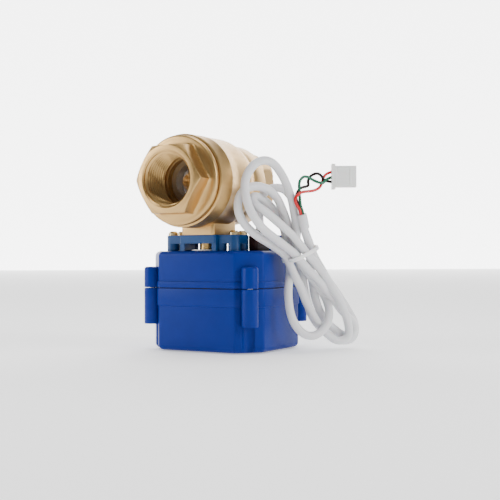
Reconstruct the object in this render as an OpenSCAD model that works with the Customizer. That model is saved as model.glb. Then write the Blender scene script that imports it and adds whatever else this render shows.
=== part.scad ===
// Motorized ball valve actuator: a brass two-piece ball valve standing on a bracket
// and a blue gear housing, with its cable wound into a hank beside it.
// Origin: on the housing's bottom face, straight below the valve stem.
// X runs along the front of the housing, Y along the pipe, Z is up. Millimetres.

/* [Valve] */
// Height of the pipe axis above the bottom of the housing
pipe_z = 84.1; // [82:0.1:88]
// Distance from the stem axis to each port face
port_half = 36.4; // [36:0.1:40]
// Major radius of the port thread (G 3/4 has a 26.44 mm major diameter)
port_r = 13.22; // [13:0.01:13.4]
// Depth of the thread in each port
port_depth = 17.5; // [16:0.1:17.5]
// Across flats of the hexagon on the inlet cap
cap_af = 32.4; // [32:0.1:34]
// Across flats of the hexagon on the outlet end
rear_af = 36.2; // [35:0.1:38]
// Radius of the body around the ball
body_r = 22.8; // [22:0.1:24]
// Radius of the round flange on the inlet cap
flange_r = 21.9; // [21:0.1:22.5]
// Radius of the ball
ball_r = 13; // [12.5:0.1:13.2]
// Radius of the bore through the ball
ball_bore_r = 8.5; // [7:0.1:9]
// Radius of the valve stem
stem_r = 4; // [3.6:0.1:4.2]

/* [Housing] */
// Width of the housing along X
case_w = 64.9; // [64:0.1:68]
// Distance from the stem axis to the housing's front face
case_front = 10.9; // [10.5:0.1:12]
// Distance from the stem axis to the housing's back face
case_back = 47.7; // [47:0.1:50]
// Height of the housing
case_h = 50; // [50:0.1:50.2]
// Thickness of the housing walls
wall = 2.4; // [2.2:0.1:2.6]
// Height of the joint between the two halves
seam_z = 31.4; // [31.2:0.1:31.6]
// Radius of the four outside screw bosses
boss_r = 4.1; // [4:0.1:4.3]

/* [Bracket] */
// Top face of the bracket
bracket_top = 57.8; // [57.6:0.1:58]
// Thickness of the bracket's plate
bracket_t = 4.1; // [3.8:0.1:4.3]
// Half length of the bracket across its ears
bracket_half = 21.2; // [21:0.1:21.6]

/* [Gears] */
// Module of the output stage
m_out = 0.8; // [0.8:0.1:0.8]
// Teeth of the output sector, counted round the full circle
z_sector = 48; // [48:12:48]
// Teeth of the idler's pinion
z_idler_pinion = 12; // [12:1:12]
// Module of the motor stage
m_in = 0.6; // [0.6:0.1:0.6]
// Teeth of the idler's wheel
z_idler_wheel = 48; // [48:12:48]
// Teeth of the motor pinion
z_motor = 12; // [12:1:12]

/* [Cable] */
// Diameter of the round cable
cable_d = 4.2; // [4:0.1:4.4]
// Diameter of each insulated wire
wire_d = 1.4; // [1.3:0.1:1.5]

/* [Hidden] */
$fn = 64;
e = 0.01;

// valve, along the pipe axis
cap_front_y = -port_half;
flange_y = -26.7;                  // front face of the cap's flange
flange_t = 3.1;
joint_y = -23.1;                   // where the cap's flange meets the body
spigot_r = 17;                     // screwed end of the cap, inside the body
spigot_end_y = -12.6;
chamber_r = 14.2;
seat_r = 12;
seat_back_y = 15.4;
seat_face_y = 7.4;
throat_r = 11.2;                   // plain bore between thread and seat
seat_gap = 0.1;                    // running gap between ball and seats
pad_half = 9.8;                    // square foot under the body
pad_back = 1.3;                    // how far the foot's middle lies behind the stem
collar_z = 67.4;
bracket_bottom = bracket_top - bracket_t;
mouth_chamfer = 0.5;

// housing
case_y0 = -case_front;
case_y1 = case_back;
chamfer_x = 10.1;
chamfer_y = 11;
belt_out = 0.45;
belt_z0 = 22.4;
belt_z1 = 34.7;
seam_gap = 0.4;
boss_x = 28.9;
boss_ys = [-7.4, 44.2];
boss_z0 = 12.9;
boss_z1 = 42.1;
boss_spots = [for (sx = [-1, 1]) for (by = boss_ys) [sx * boss_x, by]];
case_spots_post = [[-26, 36], [-26, 8], [26, 6], [5, 42]];
board_spots = [[-18.5, 15.5], [-18.5, 40], [-2, 15.5], [-2, 40]];
switch_spots = [[-14.6, -3.4], [-14.6, 3.4]];
turret = [[12, 24], [29.6, 43.6]]; // raised cover at the back of the top
turret_z = 58;

// gear train
idler_y = m_out * (z_sector + z_idler_pinion) / 2;
motor_dist = m_in * (z_idler_wheel + z_motor) / 2;
motor_angle = 23.5;
motor_x = motor_dist * cos(motor_angle);
motor_y = idler_y + motor_dist * sin(motor_angle);
plate_z = 28;
plate_t = 2;
backlash = 0.12;
pressure = 20;

// bracket and block
ear_x = 18.1;
ear_y = 3.9;
ear_r = bracket_half - ear_x;
mid_half_x = 10.6;
mid_half_y = 9.6;
block = [[21.6, 3.5, case_h], [26.6, 17, 58]];

// hank: a flat bundle standing in a vertical plane, s along the plane, z up
hank_at = [24.9, -4.2];
hank_turn = 59.84;
hank_t = 6.6;
hank_back = -2;                    // the bundle's back face, in depth
tie_s = 28.9;
tie_z = 48.4;
tie_tilt = 24.5;
tie_w = 16.3;
tie_h = 1.8;
tie_t = 0.9;

// the stretch of cable between the block and the hank: [s, depth, z]
cable_route = [
    [13.4, 8.7, 55], [13.4, 8.7, 59], [12.5, 8, 62.5], [12, 7, 66.5], [11.2, 5.4, 71],
    [11, 3, 75.5], [12, 0.5, 79.5], [15, -1.5, 81.5], [18, -2.5, 82]];
cable_at = [24.1, 11.8];           // where it leaves the block, straight up
cable_from = 54.8;

// wires between the cable's end sleeve and the plug: [s, depth, z]
wire_start = [26.4, -10.2, 67.8];
sleeve_from = [28.1, -10.2, 61.4];
sleeve_r = 2.4;
plug_at = [44, -9.6, 87];
plug_turn = -29.8;
plug_l = 10.5;
red_route = [[-0.8, -0.3, -0.6], [21.6, -11, 73.8], [21.8, -11.4, 76.2], [24.6, -11.6, 78.5],
             [28.4, -11.4, 79.1], [32.5, -11.4, 79.7], [36, -10.8, 81.3], [38, -10, 83.7],
             [39, -9.6, 86], [40.8, -9.6, 88], [44, -9.6, 89.6]];
green_route = [[0.8, -0.3, -0.6], [24.8, -10.6, 72.9], [24.1, -10.7, 81.3], [24.6, -10.6, 84.3],
               [26.9, -10.2, 86.3], [29.6, -9.8, 86.4], [32.7, -10, 85], [35, -11.4, 83.8],
               [37.6, -11.8, 83.6], [40.4, -10.4, 85.5], [44, -9.6, 87]];
black_route = [[0, 0.8, -0.6], [22.6, -10.1, 76.6], [24.8, -10.2, 80.4], [27.6, -10, 81.4],
               [30.2, -9.6, 82.2], [30.8, -8.4, 84.6], [31.6, -9.6, 87], [33.9, -11.6, 88.2],
               [36.7, -11.4, 87.2], [39.6, -9.9, 85], [44, -9.6, 84.4]];

// switches
plunger_r = 0.9;
switch_x = -11;

// ---------- helpers ----------
module along_y() { rotate([-90, 0, 0]) children(); }
module on_pipe() { translate([0, 0, pipe_z]) along_y() children(); }
module rounded_rect(w, d, r) {
    square([w, d - 2 * r], center = true);
    square([w - 2 * r, d], center = true);
    for (sx = [-1, 1]) for (sy = [-1, 1])
        translate([sx * (w / 2 - r), sy * (d / 2 - r)]) circle(r);
}
module at_spots(spots) { for (p = spots) translate([p[0], p[1], 0]) children(); }
module rod(r, z0, z1) { translate([0, 0, z0]) cylinder(r = r, h = z1 - z0); }
module box(a, b) { translate(a) cube(b - a); }
module tube_ring(r_out, r_in, z0, z1) {
    difference() { rod(r_out, z0, z1); rod(r_in, z0 - 1, z1 + 1); }
}
// the housing's plan, moved in by d, with its corners cut by c more
module case_plan(d = 0, c = 0) {
    x = case_w / 2 - d;
    y0 = case_y0 + d;
    y1 = case_y1 - d;
    cx = chamfer_x + c - 0.42 * d;
    cy = chamfer_y + c - 0.42 * d;
    polygon([[x - cx, y0], [x, y0 + cy], [x, y1 - cy], [x - cx, y1],
             [-x + cx, y1], [-x, y1 - cy], [-x, y0 + cy], [-x + cx, y0]]);
}
module case_slab(z0, z1, d = 0, c = 0) {
    translate([0, 0, z0]) linear_extrude(z1 - z0) case_plan(d, c);
}
// a pan head screw, head up, its seat at z = 0
module pan_screw(head_r, head_h, shank_r, length) {
    difference() {
        union() {
            rod(head_r, 0, head_h * 0.6);
            translate([0, 0, head_h * 0.6])
                cylinder(r1 = head_r, r2 = head_r * 0.62, h = head_h * 0.4);
            rod(shank_r, -length, e);
        }
        for (a = [0, 90]) rotate(a)
            translate([-head_r * 0.55, -head_r * 0.13, head_h * 0.45])
                cube([head_r * 1.1, head_r * 0.26, head_h]);
    }
}

// involute gear outline
function rad(a) = a * PI / 180;
function inv(a) = tan(a) - rad(a);
function half_tooth(r, n, m) =
    let (rb = n * m / 2 * cos(pressure), q = r > rb ? acos(rb / r) : 0)
    90 / n + (inv(pressure) - inv(q) - backlash / (n * m)) * 180 / PI;
function flank(n, m, add) =
    let (rp = n * m / 2, rb = rp * cos(pressure), root = rp - 1.25 * m, tip = rp + add * m,
         low = max(rb, root))
    concat(rb > root ? [root] : [], [for (k = [0:4]) low + (tip - low) * k / 4]);
function gear_outline(n, m, add) =
    let (rs = flank(n, m, add), k = len(rs))
    [for (i = [0:n - 1]) for (j = [0:2 * k - 1])
        let (up = j < k, r = rs[up ? j : 2 * k - 1 - j],
             a = i * 360 / n + (up ? -1 : 1) * half_tooth(r, n, m))
        r * [cos(a), sin(a)]];
module gear_2d(n, m, add = 1) { polygon(gear_outline(n, m, add)); }

// tube of radius r with flat sides, swept along points
function unit(v) = v / norm(v);
function tangent(p, i) = unit(p[min(i + 1, len(p) - 1)] - p[max(i - 1, 0)]);
function side_of(t, s) = unit(s - (s * t) * t);
function sides(p, i) = i == 0 ? side_of(tangent(p, 0), [0.31, 0.22, 0.93])
                              : side_of(tangent(p, i), sides(p, i - 1));
module sweep_tube(p, r, n) {
    rings = [for (i = [0:len(p) - 1])
        let (t = tangent(p, i), u = sides(p, i), v = cross(t, u))
        [for (k = [0:n - 1]) p[i] + r * (cos(360 * k / n) * u + sin(360 * k / n) * v)]];
    last = len(p) - 1;
    polyhedron(
        points = [for (ring = rings) for (q = ring) q],
        faces = concat(
            [[for (k = [n - 1:-1:0]) k]], [[for (k = [0:n - 1]) last * n + k]],
            [for (i = [0:last - 1]) for (k = [0:n - 1])
                [i * n + k, i * n + (k + 1) % n, (i + 1) * n + (k + 1) % n]],
            [for (i = [0:last - 1]) for (k = [0:n - 1])
                [i * n + k, (i + 1) * n + (k + 1) % n, (i + 1) * n + k]]));
}
// points of a smooth curve through hand-set points
function catmull(a, b, c, d, t) =
    0.5 * ((2 * b) + (c - a) * t + (2 * a - 5 * b + 4 * c - d) * t * t
           + (3 * b - a - 3 * c + d) * t * t * t);
function smooth(p, k) =
    let (m = len(p) - 1)
    concat([for (i = [0:m - 1]) for (j = [0:k - 1])
        catmull(p[max(i - 1, 0)], p[i], p[i + 1], p[min(i + 2, m)], j / k)], [p[m]]);
module in_hank() { translate([hank_at[0], hank_at[1], 0]) rotate([0, 0, hank_turn]) children(); }

// ---------- valve ----------
module hexagon(af, turn) { rotate(turn) circle(r = af / 2 / cos(30), $fn = 6); }

module valve_body() {
    color([0.80, 0.68, 0.47]) difference() {
        union() {
            on_pipe() rotate_extrude()
                polygon([[0, joint_y], [body_r - 0.7, joint_y], [body_r, joint_y + 0.8],
                         [body_r, 4.5], [body_r - 0.5, 7], [20.6, 11], [20.4, 13],
                         [20.4, 23], [19.6, 24], [0, 24]]);
            on_pipe() intersection() {
                translate([0, 0, 22]) linear_extrude(port_half - 22) hexagon(rear_af, 30);
                rotate_extrude() polygon([[0, 22], [19.9, 22], [19.9, port_half - 1.2],
                                          [18.4, port_half], [0, port_half]]);
            }
            translate([0, pad_back, bracket_top]) linear_extrude(12)
                rounded_rect(2 * pad_half, 2 * (pad_half + pad_back), 1.6);
        }
        on_pipe() rotate_extrude()
            polygon([[0, -30], [spigot_r, -30], [spigot_r, spigot_end_y],
                     [chamber_r, spigot_end_y], [chamber_r, -spigot_end_y],
                     [seat_r, -spigot_end_y], [seat_r, seat_back_y],
                     [throat_r, seat_back_y], [throat_r, 40], [0, 40]]);
        on_pipe() rod(port_r, port_half - port_depth, port_half + 1);
        on_pipe() translate([0, 0, port_half - mouth_chamfer])
            cylinder(r1 = port_r, r2 = port_r + 2 * mouth_chamfer, h = 2 * mouth_chamfer);
        rod(stem_r + 0.05, bracket_top - 1, pipe_z - 8);
        rod(5.8, collar_z, pipe_z - 8);
        for (sx = [-1, 1]) for (sy = [-1, 1])
            translate([5.2 * sx, 6.4 * sy, 0]) rod(1.5, bracket_top - 1, bracket_top + 5.5);
    }
}

module end_cap() {
    color([0.82, 0.70, 0.50]) difference() {
        on_pipe() union() {
            intersection() {
                translate([0, 0, cap_front_y]) linear_extrude(flange_y - cap_front_y + 1)
                    hexagon(cap_af, 0);
                rotate_extrude() polygon([[0, cap_front_y], [16, cap_front_y],
                    [19, cap_front_y + 1.7], [19, flange_y + 1], [0, flange_y + 1]]);
            }
            rotate_extrude() polygon([[0, flange_y], [flange_r - 0.8, flange_y],
                [flange_r, flange_y + 0.8], [flange_r, flange_y + flange_t - 0.4],
                [flange_r - 0.7, joint_y], [spigot_r, joint_y],
                [spigot_r, spigot_end_y], [0, spigot_end_y]]);
        }
        on_pipe() rod(port_r, cap_front_y - 1, cap_front_y + port_depth);
        on_pipe() rod(throat_r, cap_front_y, 0);
        on_pipe() rod(seat_r, -seat_back_y, 0);
        on_pipe() translate([0, 0, cap_front_y - mouth_chamfer])
            cylinder(r1 = port_r + 2 * mouth_chamfer, r2 = port_r, h = 2 * mouth_chamfer);
    }
}

module ball() {
    color([0.78, 0.79, 0.80]) translate([0, 0, pipe_z]) difference() {
        sphere(ball_r);
        along_y() rod(ball_bore_r, -20, 20);
        translate([-5.1, -2.05, -ball_r - 1]) cube([10.2, 4.1, 4.5]);
    }
}

module valve_stem() {
    color([0.83, 0.70, 0.48]) difference() {
        union() {
            rod(stem_r, 43.2, 69);
            rod(5.5, collar_z + 0.55, pipe_z - 13.2);
            intersection() {
                rod(5, 69, pipe_z - 9.8);
                translate([-5, -2, 69]) cube([10, 4, 20]);
            }
        }
        for (sx = [-1, 1]) translate([sx * (3.1 + 3), 0, 43]) cube([6, 12, 12.8], center = true);
        for (z = [60.6, 64]) tube_ring(6, 2.9, z, z + 1.6);
    }
}

module seat(side) {
    on_pipe() difference() {
        mirror([0, 0, side > 0 ? 0 : 1]) tube_ring(seat_r, ball_bore_r + 0.1, seat_face_y, seat_back_y);
        sphere(ball_r + seat_gap);
    }
}
module seat_front() { color([0.90, 0.90, 0.87]) seat(-1); }
module seat_rear() { color([0.90, 0.90, 0.87]) seat(1); }

module stem_orings() {
    color([0.08, 0.08, 0.08]) for (z = [61.4, 64.8]) translate([0, 0, z])
        rotate_extrude() translate([3.46, 0]) circle(0.56, $fn = 24);
}

module stem_washer() { color([0.92, 0.92, 0.90]) tube_ring(5.7, 4.1, collar_z, collar_z + 0.5); }

// ---------- bracket ----------
module bracket() {
    color([0.0, 0.29, 0.48]) difference() {
        union() {
            translate([0, 0, bracket_bottom]) linear_extrude(bracket_t) {
                rounded_rect(2 * bracket_half, 2 * (ear_y + ear_r), ear_r);
                rounded_rect(2 * mid_half_x, 2 * mid_half_y, 0.8);
            }
            for (sx = [-1, 1]) for (sy = [-1, 1])
                translate([sx * ear_x, sy * ear_y, 0]) rod(ear_r, case_h, bracket_top);
            for (sx = [-1, 1]) {
                a = sx < 0 ? -mid_half_x : mid_half_x - 2.5;
                box([a, -mid_half_y + 0.6, case_h], [a + 2.5, 0.8, bracket_bottom + 1]);
            }
            translate([11.4, -4.6, 0]) rod(2.6, case_h, bracket_top - 1);
            translate([-11.4, 4.6, 0]) rod(2.6, case_h, bracket_top - 1);
        }
        rod(5, case_h - 1, bracket_top + 1);
        for (sx = [-1, 1]) for (sy = [-1, 1]) {
            translate([sx * ear_x, sy * ear_y, 0]) rod(1.35, case_h - 1, bracket_top + 1);
            translate([sx * 5.2, sy * 6.4, 0]) {
                rod(1.7, case_h - 1, bracket_top + 1);
                translate([0, 0, bracket_bottom - e]) cylinder(r1 = 2.9, r2 = 1.7, h = 1.7);
            }
        }
    }
}

module bracket_screws() {
    color([0.76, 0.68, 0.52])
        for (sx = [-1, 1]) for (sy = [-1, 1])
            translate([sx * ear_x, sy * ear_y, bracket_top]) rotate(20 * sx)
                pan_screw(2.55, 2.2, 1.25, 12.5);
}

module valve_screws() {
    color([0.72, 0.72, 0.72])
        for (sx = [-1, 1]) for (sy = [-1, 1])
            translate([sx * 5.2, sy * 6.4, bracket_bottom]) difference() {
                union() {
                    cylinder(r1 = 2.8, r2 = 1.5, h = 1.6);
                    rod(1.5, 1, bracket_t + 5);
                }
                translate([0, 0, -e]) cylinder(r = 0.9, h = 1.2, $fn = 6);
            }
}

// ---------- housing ----------
module boss_posts(z0, z1) { at_spots(boss_spots) rod(boss_r, z0, z1); }

module upper_case() {
    z0 = seam_z + seam_gap / 2;
    inner_top = case_h - wall;
    color([0.0, 0.20, 0.55]) difference() {
        union() {
            hull() {
                case_slab(z0, z0 + 0.1);
                case_slab(47.8, 47.9, 0.15);
                case_slab(49.3, 49.4, 0.8);
                case_slab(case_h - 0.1, case_h, 2.3);
            }
            case_slab(z0, belt_z1, -belt_out);
            boss_posts(z0, boss_z1);
            translate([(turret[0][0] + turret[1][0]) / 2, (turret[0][1] + turret[1][1]) / 2, inner_top])
                linear_extrude(turret_z - inner_top)
                    rounded_rect(turret[1][0] - turret[0][0], turret[1][1] - turret[0][1], 2.4);
        }
        case_slab(z0 - 1, inner_top, wall, 2.4);
        translate([(turret[0][0] + turret[1][0]) / 2, (turret[0][1] + turret[1][1]) / 2, 40])
            linear_extrude(turret_z - 2 - 40)
                rounded_rect(turret[1][0] - turret[0][0] - 4.4, turret[1][1] - turret[0][1] - 4.4, 1.4);
        rod(7.2, 40, 60);
        for (sx = [-1, 1]) for (sy = [-1, 1])
            translate([sx * ear_x, sy * ear_y, 0]) rod(1.25, inner_top - 8, case_h + 1);
        at_spots(boss_spots) rod(1.5, z0 - 1, 40.5);
        translate([24.1, 10, 0]) rod(2.1, inner_top - 1, case_h + 1);
    }
    color([0.0, 0.20, 0.55]) difference() {
        for (sx = [-1, 1]) for (sy = [-1, 1])
            translate([sx * ear_x, sy * ear_y, 0]) rod(2.5, inner_top - 5, inner_top + e);
        for (sx = [-1, 1]) for (sy = [-1, 1])
            translate([sx * ear_x, sy * ear_y, 0]) rod(1.25, inner_top - 8, case_h + 1);
    }
}

module lower_case() {
    z1 = seam_z - seam_gap / 2;
    color([0.0, 0.19, 0.52]) difference() {
        union() {
            hull() {
                case_slab(z1 - 0.1, z1);
                case_slab(2.4, 2.5, 0.2);
                case_slab(0.7, 0.8, 0.9);
                case_slab(0, 0.1, 2.4);
            }
            case_slab(belt_z0, z1, -belt_out);
            boss_posts(boss_z0, z1);
        }
        difference() {
            case_slab(wall, z1 + 1, wall, 2.4);
            at_spots(case_spots_post) rod(2.6, 0, plate_z);
            at_spots(board_spots) rod(2.2, 0, 5);
            at_spots(switch_spots) rod(1.9, 0, 11);
            rod(5, 0, 6.4);
        }
        at_spots(boss_spots) {
            rod(boss_r, -1, boss_z0);
            rod(1.6, 0, z1 + 1);
            rod(2.95, boss_z0 - 1, boss_z0 + 2.6);
        }
        at_spots(case_spots_post) rod(1.1, plate_z - 9, plate_z + 1);
        at_spots(board_spots) rod(0.9, 2, 6);
        at_spots(switch_spots) rod(0.9, 4, 12);
        rod(3.6, 2.6, 7);
    }
}

module case_seal() {
    color([0.07, 0.07, 0.08]) difference() {
        case_slab(seam_z - seam_gap / 2, seam_z + seam_gap / 2, 0.5);
        case_slab(seam_z - 1, seam_z + 1, 1.7, 1);
    }
}

module case_screws() {
    color([0.62, 0.62, 0.63]) at_spots(boss_spots)
        translate([0, 0, boss_z0 + 2.6]) mirror([0, 0, 1]) pan_screw(2.7, 2.2, 1.5, 24.6);
}

module top_bush() {
    color([0.85, 0.86, 0.84]) {
        tube_ring(7.2, 6.08, case_h - wall, case_h + 0.4);
        tube_ring(8.1, 6.08, case_h, case_h + 0.7);
    }
}
module foot_bush() { color([0.70, 0.52, 0.28]) tube_ring(3.6, 2.55, 2.6, 6.4); }

// ---------- gear train ----------
module output_shaft() {
    color([0.90, 0.90, 0.88]) difference() {
        union() {
            rod(2.5, 2.8, 8);
            rod(4, 7.2, 40);
            rod(6, 39.6, case_h + 0.4);
        }
        intersection() {
            rod(stem_r + 0.02, 43, case_h + 1);
            translate([-3.12, -6, 43]) cube([6.24, 12, 10]);
        }
        rod(stem_r + 0.02, 49.4, case_h + 1);
    }
}

module sector_gear() {
    z0 = 35.6;
    z1 = 39.4;
    color([0.93, 0.92, 0.88]) difference() {
        union() {
            translate([0, 0, z0]) linear_extrude(z1 - z0) intersection() {
                rotate(180 / z_sector) gear_2d(z_sector, m_out, 0.8);
                polygon([[0, 0], 30 * [cos(-16.9), sin(-16.9)], 34 * [cos(20), sin(20)],
                         34 * [cos(70), sin(70)], 30 * [cos(106.9), sin(106.9)]]);
            }
            rod(7.6, z0 - 2, z1);
        }
        rod(4, z0 - 3, z1 + 1);
        for (a = [22, 68]) rotate(a) translate([12.6, 0, 0]) rod(2.6, z0 - 1, z1 + 1);
    }
}

module cam(lobe, z0) {
    difference() {
        union() {
            rod(6, z0, z0 + 4);
            rotate(lobe) translate([2.4, 0, 0]) rod(5.1, z0, z0 + 4);
        }
        rod(4, z0 - 1, z0 + 5);
    }
}
module open_cam() { color([0.15, 0.15, 0.16]) cam(180, 12); }
module close_cam() { color([0.75, 0.15, 0.12]) cam(90, 19); }

module idler_gear() {
    color([0.94, 0.93, 0.90]) translate([0, idler_y, 0]) difference() {
        union() {
            translate([0, 0, 32.4]) linear_extrude(2.8)
                rotate(motor_angle + 180 / z_idler_wheel) gear_2d(z_idler_wheel, m_in, 0.8);
            translate([0, 0, 35]) linear_extrude(5) gear_2d(z_idler_pinion, m_out, 0.9);
            rod(3.4, 30.4, 33);
        }
        rod(1.55, 30, 41);
        for (k = [0:4]) rotate(72 * k) translate([9, 0, 0]) rod(2.4, 32, 36);
    }
}
module idler_pin() {
    color([0.75, 0.76, 0.78]) translate([0, idler_y, 0]) {
        rod(1.5, plate_z, 41.6);
        rod(2.4, 40.4, 41.2);
    }
}

module gear_plate() {
    color([0.72, 0.73, 0.74]) difference() {
        translate([0, 0, plate_z]) linear_extrude(plate_t) case_plan(wall + 0.3, 2.6);
        rod(4.3, plate_z - 1, plate_z + 3);
        translate([0, idler_y, 0]) rod(1.5, plate_z - 1, plate_z + 3);
        translate([motor_x, motor_y, 0]) {
            rod(3.1, plate_z - 1, plate_z + 3);
            for (a = [0, 180]) rotate(a + 60) translate([7.4, 0, 0]) rod(1.1, plate_z - 1, plate_z + 3);
        }
        at_spots(case_spots_post) rod(1.3, plate_z - 1, plate_z + 3);
        box([-29, 13, plate_z - 1], [-16, 31, plate_z + 3]);
        box([11, -4, plate_z - 1], [21, 12, plate_z + 3]);
    }
}
module plate_screws() {
    color([0.66, 0.66, 0.67]) at_spots(case_spots_post)
        translate([0, 0, plate_z + plate_t]) pan_screw(2.1, 1.5, 1.1, 10.6);
}

module gearbox() {
    color([0.70, 0.71, 0.72]) translate([motor_x, motor_y, 0]) difference() {
        union() { rod(10.2, 19.4, plate_z); rod(3, plate_z - e, plate_z + 1.6); }
        rod(1.55, 21, plate_z + 3);
        for (a = [0, 180]) rotate(a + 60) translate([7.4, 0, 0]) rod(1, plate_z - 5, plate_z + 1);
    }
}
module motor_can() {
    color([0.64, 0.65, 0.67]) translate([motor_x, motor_y, 0]) {
        rod(9.9, 6.4, 19.4);
        rod(3, 5, 6.4);
    }
}
module motor_terminals() {
    color([0.80, 0.62, 0.30]) translate([motor_x, motor_y, 0])
        for (sx = [-1, 1]) translate([sx * 6.4 - 0.4, -1, 3.4]) cube([0.8, 2, 3]);
}
module motor_shaft() {
    color([0.80, 0.80, 0.82]) translate([motor_x, motor_y, 0]) rod(1.5, 21.4, 36.6);
}
module motor_pinion() {
    color([0.80, 0.66, 0.36]) translate([motor_x, motor_y, 32.2]) difference() {
        linear_extrude(3.2) rotate(motor_angle + 180) gear_2d(z_motor, m_in, 0.9);
        rod(1.5, -1, 5);
    }
}
module gearbox_screws() {
    color([0.66, 0.66, 0.67]) translate([motor_x, motor_y, 0])
        for (a = [0, 180]) rotate(a + 60) translate([7.4, 0, plate_z + plate_t])
            pan_screw(1.9, 1.3, 1, 5.6);
}

// ---------- switches and board ----------
module switch_body(z0) {
    difference() {
        box([switch_x - 6.5, -6.4, z0], [switch_x, 6.4, z0 + 5.8]);
        translate([switch_x - 3, 0, z0 + 2.9]) rotate([0, 90, 0]) cylinder(r = plunger_r + 0.05, h = 4);
        at_spots(switch_spots) rod(1, z0 - 1, z0 + 7);
    }
    for (y = [-5, 0, 5]) box([switch_x - 9.7, y - 0.3, z0 + 2.4], [switch_x - 6.5, y + 0.3, z0 + 3.4]);
}
module plunger(z0) {
    translate([switch_x - 2.2, 0, z0 + 2.9]) rotate([0, 90, 0]) cylinder(r = plunger_r, h = 5.4 - 0.05);
}
module open_switch() { color([0.12, 0.12, 0.13]) switch_body(11); }
module close_switch() { color([0.12, 0.12, 0.13]) switch_body(18.1); }
module open_plunger() { color([0.85, 0.12, 0.10]) plunger(11); }
module close_plunger() { color([0.85, 0.12, 0.10]) plunger(18.1); }
module switch_spacer() {
    color([0.80, 0.80, 0.78]) difference() {
        box([switch_x - 6, -5.5, 16.8], [switch_x - 1.5, 5.5, 18.1]);
        at_spots(switch_spots) rod(1, 16, 19);
    }
}
module switch_screws() {
    color([0.66, 0.66, 0.67]) at_spots(switch_spots)
        translate([0, 0, 23.9]) pan_screw(1.8, 1.3, 0.9, 18.6);
}

module circuit_board() {
    color([0.05, 0.34, 0.18]) difference() {
        box([-21.5, 12.5, 5], [1, 43, 6.6]);
        at_spots(board_spots) rod(1.05, 4, 8);
    }
}
module board_parts() {
    color([0.10, 0.10, 0.11]) {
        box([-17, 20, 6.6], [-7, 30, 13.6]);
        box([-4.5, 19.5, 6.6], [-0.5, 24.5, 8.3]);
        box([-16, 33, 6.6], [-12, 38, 8.4]);
        box([-9.5, 33.5, 6.6], [-2, 37.5, 12]);
    }
    color([0.15, 0.25, 0.55]) translate([-2.6, 29, 0]) rod(2.5, 6.6, 13);
}
module board_screws() {
    color([0.66, 0.66, 0.67]) at_spots(board_spots)
        translate([0, 0, 6.6]) pan_screw(1.7, 1.2, 0.9, 4.2);
}

// ---------- cable ----------
module cable_block() {
    c = (block[0] + block[1]) / 2;
    s = block[1] - block[0];
    color([0.14, 0.05, 0.04]) difference() {
        union() {
            translate([c[0], c[1], case_h]) linear_extrude(s[2]) rounded_rect(s[0], s[1], 0.8);
            translate([24.1, 10, 0]) rod(2.1, case_h - wall - 0.8, case_h + 1);
        }
        translate([cable_at[0], cable_at[1], 0]) rod(cable_d / 2 + 0.02, cable_from, block[1][2] + 1);
    }
}
module cable_tube() {
    color([0.90, 0.90, 0.91]) in_hank() sweep_tube(smooth(cable_route, 3), cable_d / 2, 12);
}
module spots_2d(list) { for (c = list) translate([c[0], c[1]]) circle(c[2], $fn = 32); }
module hank_outline() {
    hull() spots_2d([[8.6, 80.6, 15.6], [-1.6, 72, 7], [20.5, 77.5, 6.2], [14, 57.4, 4.6],
                     [30.6, 62, 4], [tie_s - 4.6, tie_z + 5.6, 3.4], [tie_s + 5, tie_z + 9, 3.4]]);
    translate([tie_s, tie_z]) rotate(tie_tilt) square([tie_w, 16], center = true);
    hull() spots_2d([[tie_s - 2.6, tie_z - 9, 3.4], [tie_s + 5.6, tie_z - 6, 3.4],
                     [27.2, 14.6, 9], [58.6, 8.6, 8.3], [63.6, 14, 5]]);
}
module cable_hank() {
    color([0.90, 0.90, 0.91]) in_hank() translate([0, hank_back, 0]) rotate([90, 0, 0])
        linear_extrude(hank_t) hank_outline();
}
module tie_plan(grow) { square([tie_w + 2 * grow, hank_t + 2 * grow], center = true); }
module cable_tie() {
    color([0.95, 0.95, 0.95]) in_hank() translate([tie_s, hank_back - hank_t / 2, tie_z])
        rotate([0, -tie_tilt, 0]) translate([0, 0, -tie_h / 2]) linear_extrude(tie_h)
            difference() { tie_plan(tie_t); tie_plan(0); }
}
module end_sleeve() {
    d = wire_start - sleeve_from;
    color([0.93, 0.93, 0.93]) in_hank() translate(sleeve_from)
        rotate([0, acos(d[2] / norm(d)), atan2(d[1], d[0])]) cylinder(r = sleeve_r, h = norm(d));
}
function wire_curve(p) = smooth(concat([wire_start + p[0]], [for (i = [1:len(p) - 1]) p[i]]), 3);
module wire_red() { color([0.84, 0.12, 0.24]) in_hank() sweep_tube(wire_curve(red_route), wire_d / 2, 8); }
module wire_green() { color([0.0, 0.46, 0.34]) in_hank() sweep_tube(wire_curve(green_route), wire_d / 2, 8); }
module wire_black() { color([0.13, 0.03, 0.03]) in_hank() sweep_tube(wire_curve(black_route), wire_d / 2, 8); }
module at_plug() { in_hank() translate(plug_at) rotate([0, 0, plug_turn]) children(); }
module plug_housing() {
    color([0.93, 0.93, 0.91]) at_plug() difference() {
        union() {
            box([0, -3.2, -6.3], [1.8, 3.2, 6.3]);
            box([1.8, -2.9, -5.3], [1.8 + plug_l, 2.9, 5.3]);
        }
        for (k = [-1:1]) box([3, -0.9, 2.6 * k - 0.9], [12, 0.9, 2.6 * k + 0.9]);
        for (k = [-1:1]) translate([-1, 0, 2.6 * k]) rotate([0, 90, 0]) cylinder(r = wire_d / 2 + 0.05, h = 6);
    }
}
module plug_contacts() {
    color([0.82, 0.80, 0.76]) at_plug() for (k = [-1:1])
        difference() {
            box([4.2, -0.8, 2.6 * k - 0.8], [9.6, 0.8, 2.6 * k + 0.8]);
            box([5, -0.5, 2.6 * k - 0.5], [12, 0.5, 2.6 * k + 0.5]);
        }
}

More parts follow.
